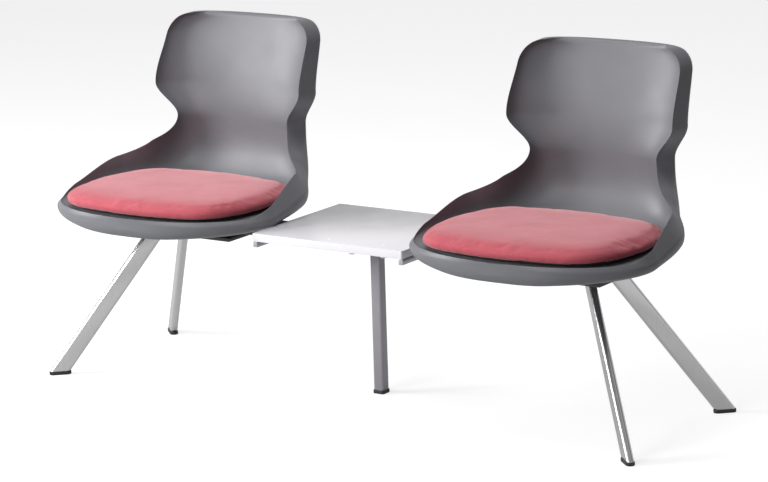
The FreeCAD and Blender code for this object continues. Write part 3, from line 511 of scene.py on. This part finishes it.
def half_width(travel):
    if travel < WIDEST:
        share = (WIDEST - travel) / (WIDEST - FRONT)
        return SEAT_HALF * max(0.0, 1 - share ** FULLNESS) ** (1 / FULLNESS)
    if travel > CORNER:
        rise = min(travel - CORNER, TOP_CORNER)
        return HALF(travel) - TOP_CORNER + math.sqrt(TOP_CORNER ** 2 - rise ** 2)
    return HALF(travel)


def top_inset(travel):
    """How far the faces draw together in the rounded top edge."""
    rise = travel - (TOP - EDGE_ROUND)
    if rise <= 0:
        return 0.0
    return EDGE_ROUND - math.sqrt(max(EDGE_ROUND ** 2 - rise ** 2, 0.0))


QUARTER_STEPS = 160


def quarter(half, start, end, power):
    """From the middle (0, end) out to the side (half, start), dense at both ends."""
    points = []
    for step in range(QUARTER_STEPS + 1):
        s = 1 - step / QUARTER_STEPS
        graded = s ** 3 / (s ** 3 + (1 - s) ** 3)
        angle = math.pi / 2 * graded
        x = half * max(math.cos(angle), 0.0) ** (2 / power)
        points.append((x, start + (end - start) * math.sin(angle) ** (2 / power)))
    points[0] = (0.0, end)
    points[-1] = (half, start)
    return np.array(points)


def lengths(points):
    """How far each point lies along the line."""
    steps = np.hypot(*np.diff(points, axis=0).T)
    return np.concatenate([[0.0], np.cumsum(steps)])


def along(points, places):
    """Points of the line at the given lengths."""
    run = lengths(points)
    return np.column_stack([np.interp(places, run, points[:, k]) for k in (0, 1)])


def turn(before, corner, after):
    """A rounded corner between two points."""
    points = []
    for step in range(1, TURN_COUNT):
        t = step / TURN_COUNT
        points.append((1 - t) ** 2 * before + 2 * t * (1 - t) * corner + t ** 2 * after)
    return np.array(points)


FACE_COUNT = 34
RIM_COUNT = 5
TURN_COUNT = 7
INNER_TURN = 3.5
OUTER_TURN = 4.5
INNER_TURN_SHARE = 0.4
OUTER_TURN_SHARE = 0.45
FACE_TURN_SHARE = 0.3
CLOSENESS = 1.35


def section_faces(travel):
    """The inner face from the middle to the rim, and the outer one from the rim to the middle."""
    inset = top_inset(travel)
    half = half_width(travel)
    edge = EDGE(travel) + inset
    inner = INNER(travel) + inset
    outer = OUTER(travel) - inset
    shoulder = min(EDGE(travel) + RIM(travel), OUTER(travel) - RIM_UNDER) - inset
    flank = half + BULGE(travel) * min(1.0, half / NOSE_HALF)
    inside = quarter(half, edge, inner, HOLLOW(travel))
    outside = quarter(flank, shoulder, outer, SWELL(travel))[::-1]
    return inside, outside


def half_section(travel):
    """Points from the middle of the inner face round the rim to the middle of the outer one."""
    inside, outside = section_faces(travel)
    rim_start = inside[-1]
    rim_end = outside[0]
    rim_long = float(np.hypot(*(rim_end - rim_start)))
    inside_long = lengths(inside)[-1]
    outside_long = lengths(outside)[-1]
    near = min(INNER_TURN, INNER_TURN_SHARE * rim_long, FACE_TURN_SHARE * inside_long)
    far = min(OUTER_TURN, OUTER_TURN_SHARE * rim_long, FACE_TURN_SHARE * outside_long)
    rim_way = (rim_end - rim_start) / max(rim_long, TINY)
    rim_first = rim_start + rim_way * near
    rim_last = rim_end - rim_way * far
    rim_run = rim_first + (rim_last - rim_first) * np.linspace(0, 1, RIM_COUNT)[:, None]
    s = np.linspace(0, 1, FACE_COUNT)
    inner_run = along(inside, (inside_long - near) * (1 - (1 - s) ** CLOSENESS))
    outer_run = along(outside, far + (outside_long - far) * s ** CLOSENESS)
    return np.vstack([
        inner_run,
        turn(inner_run[-1], rim_start, rim_first),
        rim_run,
        turn(rim_last, rim_end, outer_run[0]),
        outer_run,
    ])


def place(travel, x, depth):
    """A section's point in the scene: level seat, quarter turn, upright back."""
    if travel <= 0:
        return Vector((x, AXIS_Y + travel, AXIS_Z - depth)) * MM
    if travel >= BEND:
        return Vector((x, AXIS_Y + depth, AXIS_Z + travel - BEND)) * MM
    angle = math.pi / 2 * travel / BEND
    return Vector((x, AXIS_Y + depth * math.sin(angle), AXIS_Z - depth * math.cos(angle))) * MM


FRONT_STEPS = 44
FRONT_FIRST = 0.0006
FRONT_CLOSENESS = 1.25
RUNS = ((WIDEST, 0, 20), (0, BEND, 36), (BEND, CORNER, 40))
CORNER_STEPS = 26


def section_travels():
    """Where the sections are, closer together at the front edge and the top corners."""
    travels = []
    for step in range(FRONT_STEPS):
        share = FRONT_FIRST + (1 - FRONT_FIRST) * (step / FRONT_STEPS) ** FRONT_CLOSENESS
        reach = math.cos(math.pi / 2 * share) ** (2 / FULLNESS)
        travels.append(WIDEST - (WIDEST - FRONT) * reach)
    for start, stop, count in RUNS:
        travels += [start + (stop - start) * step / count for step in range(count)]
    for step in range(CORNER_STEPS + 1):
        angle = math.pi / 2 * step / CORNER_STEPS
        travels.append(CORNER + TOP_CORNER * math.sin(angle))
    return travels


def section_loop(travel, half):
    """A whole section in the scene, from its half and the mirror image of that."""
    loop = [place(travel, x, depth) for x, depth in half]
    loop += [place(travel, -x, depth) for x, depth in half[-2:0:-1]]
    return loop


def top_cap(start, count):
    """Faces over the last section, from its inner points to its outer ones, on both sides."""
    faces = []
    outer_middle = count // 2
    for k in range(outer_middle // 2):
        across = [k, k + 1, outer_middle - k - 1, outer_middle - k]
        if across[1] == across[2]:
            across.pop(2)
        faces.append(tuple(start + index for index in across))
        faces.append(tuple(start + -index % count for index in across[::-1]))
    return faces


SHELL_WELD = 0.02


def shell_mesh(name, x_offset):
    """The shell's skin as one closed grid of sections, a line in front and a cap on top."""
    vertices = []
    travels = section_travels()
    for number, travel in enumerate(travels):
        half = half_section(travel)
        if number == 0:
            half[:, 0] = 0.0
        loop = section_loop(travel, half)
        vertices += loop
    count = len(loop)
    faces = walls(len(travels), count) + top_cap(len(vertices) - count, count)
    piece = new_piece(name, vertices, faces)
    work = bmesh.new()
    work.from_mesh(piece.data)
    bmesh.ops.remove_doubles(work, verts=work.verts, dist=SHELL_WELD * MM)
    bmesh.ops.recalc_face_normals(work, faces=work.faces)
    work.to_mesh(piece.data)
    work.free()
    piece.data.transform(Matrix.Translation((x_offset, 0, 0)))
    return piece


# The recess under the seat, and the bosses in it that take the seat's screws


RECESS_INSET = 30.0
RECESS_BACK = 90.0
RECESS_BACK_HALF = 185.0
RECESS_STEPS = 28
RECESS_PAST = 15.0
FLOOR_UNDER = 400.0
UNDERSIDE = 368.0
BOSS_X = 105.0
BOSS_ROWS = (-190.0, 70.0)
BOSS_RADIUS = 12.0
BOSS_LOW = 391.0
BOSS_CHAMFER = 1.0
BOSS_FOOT = 3.0
BOSS_FOOT_RISE = 2.0
BOSS_SUNK = 1.0
BOSS_SIDES = 28


def recess_outline():
    outline = []
    front = AXIS_Y + FRONT + RECESS_INSET
    for step in range(RECESS_STEPS + 1):
        y = front + (AXIS_Y - front) * (1 - (1 - step / RECESS_STEPS) ** 2)
        x = max(half_width(y - RECESS_INSET - AXIS_Y) - RECESS_INSET, 0.0)
        outline.append((x, y))
    outline[0] = (0.0, front)
    outline.append((RECESS_BACK_HALF, RECESS_BACK))
    return outline + [(-x, y) for x, y in outline[:0:-1]]


def recess_cutter(name, x_offset):
    """What is taken out from under the seat."""
    ring = recess_outline()
    low = [Vector((x, y, UNDERSIDE - RECESS_PAST)) * MM for x, y in ring]
    high = [Vector((x, y, FLOOR_UNDER)) * MM for x, y in ring]
    size = len(ring)
    ends = [tuple(range(size))[::-1], tuple(range(size, 2 * size))]
    piece = new_piece(name, low + high, ends + walls(2, size))
    piece.data.transform(Matrix.Translation((x_offset, 0, 0)))
    return piece


def cut_recess(shell, side, x_offset):
    cutter = recess_cutter("recess_cutter_" + side, x_offset)
    cut = shell.modifiers.new("recess", "BOOLEAN")
    cut.operation = "DIFFERENCE"
    cut.solver = "EXACT"
    cut.object = cutter
    apply_modifiers(shell)
    bpy.data.objects.remove(cutter)


def boss(name, x, y):
    """A round boss about a vertical line, wider where it meets the seat."""
    profile = [
        (BOSS_RADIUS - BOSS_CHAMFER, BOSS_LOW),
        (BOSS_RADIUS, BOSS_LOW + BOSS_CHAMFER),
        (BOSS_RADIUS, FLOOR_UNDER - BOSS_FOOT_RISE),
        (BOSS_RADIUS + BOSS_FOOT, FLOOR_UNDER + BOSS_SUNK),
    ]
    vertices = []
    for radius, height in profile:
        for k in range(BOSS_SIDES):
            angle = 2 * math.pi * k / BOSS_SIDES
            out = radius * MM
            vertices.append(Vector((x + out * math.cos(angle), y + out * math.sin(angle),
                                    height * MM)))
    faces = walls(len(profile), BOSS_SIDES)
    faces.append(tuple(range(BOSS_SIDES))[::-1])
    faces.append(tuple(range(len(vertices) - BOSS_SIDES, len(vertices))))
    return new_piece(name, vertices, faces)


def bosses(side, x_offset):
    places = [(way * BOSS_X, y) for way in (-1, 1) for y in BOSS_ROWS]
    pieces = []
    for number, (x, y) in enumerate(places):
        pieces.append(boss("boss_%s_%d" % (side, number), x_offset + x * MM, y * MM))
    return pieces


def join(pieces, name):
    """One mesh out of several separate ones."""
    work = bmesh.new()
    for piece in pieces:
        work.from_mesh(piece.data)
    data = bpy.data.meshes.new(name)
    work.to_mesh(data)
    work.free()
    for piece in pieces:
        bpy.data.objects.remove(piece)
    joined = bpy.data.objects.new(name, data)
    bpy.context.scene.collection.objects.link(joined)
    return joined


SHELL_SMOOTH = math.radians(38)


def seat_shell(side):
    x_offset = SEAT_X[side]
    shell = shell_mesh("shell_skin_" + side, x_offset)
    cut_recess(shell, side, x_offset)
    piece = join([shell] + bosses(side, x_offset), "seat_shell_skin_" + side)
    smooth_faces(piece, SHELL_SMOOTH)
    put_on_body(piece, SHELL, "seat_shell_" + side)


# Pads: foam under a stretched cover


PAD_HALF = 256.0
PAD_DEEP = 203.5
PAD_CENTRE_Y = -88.5
PAD_CORNER = 112.0
PAD_BOW = 15.0
PAD_LOW = 417.5
PAD_THICK = 24.0
PAD_CROWN = 9.0
PAD_RIM = 160
PAD_ARC_STEPS = 200


def arc(x, y, radius, start, end, closed=False):
    """Points on an arc between two angles, with its last one only if it is closed."""
    points = []
    for step in range(PAD_ARC_STEPS + closed):
        angle = start + (end - start) * step / PAD_ARC_STEPS
        points.append((x + radius * math.cos(angle), y + radius * math.sin(angle)))
    return points


def pad_outline(inset):
    """The pad's outline drawn in by an inset, as evenly spaced points.

    A quarter of it is a bowed side, a corner and a bowed front, which run into one another.
    """
    reach = PAD_CORNER + PAD_BOW
    corner_x = PAD_HALF - reach
    corner_y = PAD_DEEP - reach
    side = (reach ** 2 + corner_y ** 2 - PAD_CORNER ** 2) / (2 * PAD_BOW)
    front = (reach ** 2 + corner_x ** 2 - PAD_CORNER ** 2) / (2 * PAD_BOW)
    side_turn = math.atan2(corner_y, corner_x - (PAD_HALF - side))
    front_turn = math.atan2(corner_y - (PAD_DEEP - front), corner_x)
    points = arc(PAD_HALF - side, 0.0, side - inset, 0.0, side_turn)
    points += arc(corner_x, corner_y, PAD_CORNER - inset, side_turn, front_turn)
    points += arc(0.0, PAD_DEEP - front, front - inset, front_turn, math.pi / 2, closed=True)
    points = np.array(points)
    evenly = along(points, np.linspace(0, lengths(points)[-1], PAD_RIM // 4 + 1))
    ring = [(x, y) for x, y in evenly]
    ring += [(-x, y) for x, y in evenly[-2::-1]]
    ring += [(-x, -y) for x, y in evenly[1:]]
    ring += [(x, -y) for x, y in evenly[-2:0:-1]]
    return ring


# Insets and heights up the pad's side, and shares of the way across its underside and its top

PAD_SIDES = ((6, 0.0), (2.6, 1.2), (1.0, 4.0), (0.2, 7.0), (0, 10.0))
PAD_EDGE_TURN = 13.0
PAD_EDGE_RISE = 12.0
PAD_EDGE_STEPS = 6
PAD_SHOULDER = 80.0
PAD_TOP_RISE = 1.5
UNDER_SHARES = (0.02, 0.35, 0.7)
SHOULDER_SHARES = (0.15, 0.3, 0.5, 0.75, 1.0)
TOP_SHARES = (0.66, 0.33, 0.02)


def scaled(ring, share):
    return [(x * share, y * share) for x, y in ring]


def pad_rings(shrink):
    """Outlines and heights from the middle of the underside over the side to the crown."""
    foot = pad_outline(PAD_SIDES[0][0] + shrink)
    rings = [(scaled(foot, share), 0.0) for share in UNDER_SHARES]
    rings += [(pad_outline(inset + shrink), height) for inset, height in PAD_SIDES]
    for step in range(1, PAD_EDGE_STEPS + 1):
        angle = math.pi / 2 * step / PAD_EDGE_STEPS
        inset = PAD_EDGE_TURN * (1 - math.cos(angle))
        height = PAD_SIDES[-1][1] + PAD_EDGE_RISE * math.sin(angle)
        rings.append((pad_outline(inset + shrink), height))
    for share in SHOULDER_SHARES:
        height = PAD_THICK + PAD_CROWN * (1 - (1 - share) ** 2)
        rings.append((pad_outline(PAD_EDGE_TURN + PAD_SHOULDER * share + shrink), height))
    crown, crown_height = rings[-1]
    for share in TOP_SHARES:
        rings.append((scaled(crown, share), crown_height + PAD_TOP_RISE * (1 - share)))
    return rings


def middle(points):
    return sum(points, Vector()) / len(points)


def pad_form(name, x_offset, shrink):
    """The pad before its cover is blown up: drawn-in foot, full sides, low crown."""
    rings = pad_rings(shrink)
    vertices = []
    for ring, height in rings:
        level = PAD_LOW + shrink * 0.5 + height * (1 - shrink / PAD_THICK)
        vertices += [Vector((x, y + PAD_CENTRE_Y, level)) * MM for x, y in ring]
    last = len(vertices) - PAD_RIM
    vertices += [middle(vertices[:PAD_RIM]), middle(vertices[last:])]
    low, high = len(vertices) - 2, len(vertices) - 1
    faces = walls(len(rings), PAD_RIM)
    for k in range(PAD_RIM):
        after = (k + 1) % PAD_RIM
        faces.append((after, k, low))
        faces.append((last + k, last + after, high))
    piece = new_piece(name, vertices, faces)
    piece.data.transform(Matrix.Translation((x_offset, 0, 0)))
    return piece


CLOTH_FRAMES = 20
PAD_VOXEL = 5.0
PAD_CAP = 5.0
PAD_SHRINK = 2.0
COVER = {
    "quality": 6,
    "mass": 0.3,
    "tension_stiffness": 25,
    "compression_stiffness": 25,
    "shear_stiffness": 8,
    "bending_stiffness": 1.2,
    "use_pressure": True,
    "uniform_pressure_force": 4.0,
}


def even_out(piece):
    """Rebuild a piece with points at even distances."""
    remesh = piece.modifiers.new("even", "REMESH")
    remesh.mode = "VOXEL"
    remesh.voxel_size = PAD_VOXEL * MM
    apply_modifiers(piece)


def subdivide(piece):
    subdivision = piece.modifiers.new("fine", "SUBSURF")
    subdivision.levels = 1
    apply_modifiers(piece)


def points_of(data):
    flat = np.zeros(len(data.vertices) * 3)
    data.vertices.foreach_get("co", flat)
    return flat.reshape(-1, 3)


def simulated(piece):
    """Where the cover's points are after the simulation."""
    cloth = piece.modifiers.new("cover", "CLOTH")
    for name, value in COVER.items():
        setattr(cloth.settings, name, value)
    cloth.settings.effector_weights.gravity = 0.0
    cloth.collision_settings.use_collision = False
    cloth.point_cache.frame_start = 1
    cloth.point_cache.frame_end = CLOTH_FRAMES
    scene = bpy.context.scene
    for number in range(1, CLOTH_FRAMES + 1):
        scene.frame_set(number)
    graph = bpy.context.evaluated_depsgraph_get()
    moved = points_of(piece.evaluated_get(graph).to_mesh())
    piece.evaluated_get(graph).to_mesh_clear()
    piece.modifiers.clear()
    scene.frame_set(1)
    return moved


def blow_up(piece):
    """Inflate the cover with a cloth simulation, no point of it further than PAD_CAP."""
    start = points_of(piece.data)
    step = simulated(piece) - start
    far = np.linalg.norm(step, axis=1, keepdims=True)
    step *= np.minimum(1.0, PAD_CAP * MM / np.maximum(far, TINY))
    piece.data.vertices.foreach_set("co", (start + step).ravel())
    piece.data.update()


PAD_REST = 0.2
FOAM_FROM = 12.0
FOAM_WAVES = ((11.0, 1.1), (27.0, 0.4))
SEAM_HEIGHT = 9.5
SEAM_REACH = 3.0
SEAM_DEPTH = 0.9
SEAM_UPRIGHT = 0.5


def settle_cover(piece, x_offset):
    """Flat on its underside, and slight unevenness in the foam on top."""
    low = (PAD_LOW + PAD_REST) * MM
    for vertex in piece.data.vertices:
        local = vertex.co - Vector((x_offset, PAD_CENTRE_Y * MM, 0))
        if vertex.co.z > (PAD_LOW + FOAM_FROM) * MM:
            vertex.co.z += sum(noise.noise(local * pitch) * size * MM
                               for pitch, size in FOAM_WAVES)
        vertex.co.z = max(vertex.co.z, low)


def sink_seam(piece):
    """A stitched seam round the side, a little under the top edge."""
    level = (PAD_LOW + SEAM_HEIGHT) * MM
    reach = SEAM_REACH * MM
    for vertex in piece.data.vertices:
        away = abs(vertex.co.z - level)
        if away >= reach:
            continue
        normal = vertex.normal
        flat = Vector((normal.x, normal.y, 0))
        if flat.length > SEAM_UPRIGHT:
            vertex.co -= flat.normalized() * SEAM_DEPTH * MM * (1 - away / reach) ** 2


def seat_pad(side):
    x_offset = SEAT_X[side]
    piece = pad_form("seat_cushion_" + side, x_offset, PAD_SHRINK)
    even_out(piece)
    blow_up(piece)
    settle_cover(piece, x_offset)
    subdivide(piece)
    sink_seam(piece)
    piece.data.polygons.foreach_set("use_smooth", [True] * len(piece.data.polygons))
    put_on_body(piece, FABRIC, "seat_pad_" + side)


# Pieces that keep the CAD model's form, with their edges broken. The widths are in metres.


FINE_EDGE = 0.0005
TUBE_EDGE = 0.0006
PLATE_EDGE = 0.0008
RAIL_EDGE = 0.0009
FOOT_EDGE = 0.0010
SADDLE_EDGE = 0.0012
TABLE_EDGE = 0.0016


def dress_pad_board(side):
    bevelled("pad_base_" + side, BOARD, PLATE_EDGE)
    bevelled("pad_studs_" + side, BLACK, FINE_EDGE)


def dress_carrier(side):
    """What holds a seat on the beam, and the saddle that holds its legs."""
    bevelled("seat_screws_" + side, ZINC, TUBE_EDGE)
    for row in ("inner", "outer"):
        bevelled("seat_rail_%s_%s" % (side, row), BRACKET_PAINT, RAIL_EDGE)
    bevelled("seat_plate_" + side, BRACKET_PAINT, PLATE_EDGE)
    bevelled("clamp_%s_bolts" % side, ZINC, FINE_EDGE)
    bevelled("clamp_%s_nuts" % side, ZINC, FINE_EDGE)
    bevelled("leg_saddle_" + side, BRACKET_PAINT, SADDLE_EDGE)


def dress_ends(side):
    """The beam's cap and the table's rail on one side."""
    bevelled("beam_end_cap_" + side, BLACK, TUBE_EDGE)
    bevelled("table_end_rail_" + side, RAIL_GREY, PLATE_EDGE)


def dress_legs(side):
    for row in ("front", "rear"):
        bevelled("leg_%s_%s" % (side, row), LEG_METAL, TUBE_EDGE)
        bevelled("foot_cap_%s_%s" % (side, row), BLACK, FOOT_EDGE)


def dress_post():
    bevelled("post_flange", BRACKET_PAINT, PLATE_EDGE)
    bevelled("centre_post", POST_METAL, FINE_EDGE)
    bevelled("foot_cap_centre", BLACK, FOOT_EDGE)


def dress_table():
    """The table with its bracket, its screws and the clamp on the beam below it."""
    bevelled("table_bracket", BRACKET_PAINT, PLATE_EDGE)
    bevelled("clamp_centre_bolts", ZINC, FINE_EDGE)
    bevelled("clamp_centre_nuts", ZINC, FINE_EDGE)
    bevelled("table_screws", ZINC, FINE_EDGE)
    bevelled("table_top", TABLE_WHITE, TABLE_EDGE, segments=3)


def build_bench():
    for side in SIDES:
        seat_shell(side)
        seat_pad(side)
        dress_pad_board(side)
        dress_carrier(side)
        dress_ends(side)
        dress_legs(side)
    bevelled("beam", BEAM_PAINT, TUBE_EDGE)
    dress_post()
    dress_table()


# Floor, backdrop and light


FLOOR_REACH = 12.0
FLOOR_DARK = (0.465, 0.465, 0.470)
FLOOR_PALE = (0.475, 0.475, 0.480)
FLOOR_LIFT = 0.70
FLOOR_LIFT_GLOSSY = 0.30


def floor_material():
    """Pale grey, lifted to white for the camera, which keeps the object's shadow."""
    m = new_material("studio_floor")
    rays = m.add("ShaderNodeLightPath")
    seen = m.calculate("MULTIPLY", rays.outputs["Is Camera Ray"], FLOOR_LIFT)
    mirrored = m.calculate("MULTIPLY", rays.outputs["Is Glossy Ray"], FLOOR_LIFT_GLOSSY)
    glow = m.add("ShaderNodeEmission")
    m.feed(glow.inputs["Strength"], m.calculate("ADD", seen, mirrored))
    grey = m.add("ShaderNodeBsdfDiffuse")
    tone = m.ramp(m.noise(scale=2.0, detail=3.0), (0.3, FLOOR_DARK), (0.7, FLOOR_PALE))
    m.feed(grey.inputs["Color"], tone)
    both = m.add("ShaderNodeAddShader")
    m.link(grey.outputs[0], both.inputs[0])
    m.link(glow.outputs[0], both.inputs[1])
    m.link(both.outputs[0], m.output.inputs["Surface"])
    return m.owner


def add_floor():
    reach = FLOOR_REACH
    corners = [(-reach, -reach, 0), (reach, -reach, 0), (reach, reach, 0), (-reach, reach, 0)]
    floor = new_piece("floor", corners, [(0, 1, 2, 3)])
    floor.data.materials.append(floor_material())


AMBIENT_LEFT = 0.52
AMBIENT_RIGHT = 0.06
BAND_SCALE = 1.6
BAND_EDGES = (0.38, 0.60)
SHEEN_LOW = 0.16
SHEEN_HIGH = 0.95
BACKDROP = 1.0
BACKDROP_TINT = (1.0, 0.995, 1.0)


def add_world():
    """Soft light from the left, a white backdrop, and bands of studio for the metal to show."""
    world = bpy.data.worlds.new("studio")
    bpy.context.scene.world = world
    w = Nodes(world, "ShaderNodeOutputWorld")
    rays = w.add("ShaderNodeLightPath").outputs
    coords = w.add("ShaderNodeTexCoord")
    noise_bands = w.add("ShaderNodeTexNoise")
    w.put(noise_bands, Scale=BAND_SCALE, Detail=1.0)
    w.link(coords.outputs["Generated"], noise_bands.inputs["Vector"])
    bands = w.remap(noise_bands.outputs["Fac"], BAND_EDGES, (SHEEN_LOW, SHEEN_HIGH))
    across = w.add("ShaderNodeSeparateXYZ")
    w.link(coords.outputs["Generated"], across.inputs["Vector"])
    ambient = w.remap(across.outputs["X"], (-1.0, 1.0), (AMBIENT_LEFT, AMBIENT_RIGHT))
    unseen = w.blend(rays["Is Glossy Ray"], ambient, bands)
    seen = w.calculate("MAXIMUM", rays["Is Camera Ray"], rays["Is Transmission Ray"])
    background = w.add("ShaderNodeBackground")
    w.feed(background.inputs["Color"], BACKDROP_TINT)
    w.feed(background.inputs["Strength"], w.blend(seen, unseen, BACKDROP))
    w.link(background.outputs["Background"], w.output.inputs["Surface"])


LAMP_AIM = Vector((0.0, 0.0, 0.45))


def add_lamp(name, spot, size, power):
    data = bpy.data.lights.new(name, "AREA")
    data.shape = "RECTANGLE"
    data.size, data.size_y = size
    data.energy = power
    lamp = bpy.data.objects.new(name, data)
    lamp.location = spot
    lamp.rotation_euler = (LAMP_AIM - Vector(spot)).to_track_quat("-Z", "Y").to_euler()
    bpy.context.scene.collection.objects.link(lamp)


def add_lights():
    add_lamp("key", spot=(-3.4, -2.2, 1.7), size=(1.6, 1.6), power=165)
    add_lamp("front", spot=(-0.6, -4.2, 2.2), size=(2.0, 1.4), power=75)
    add_lamp("top", spot=(-0.3, -0.3, 3.6), size=(2.4, 1.8), power=50)


add_camera()
add_world()
add_lights()
add_floor()
build_bench()
bpy.context.scene.view_settings.view_transform = "Standard"
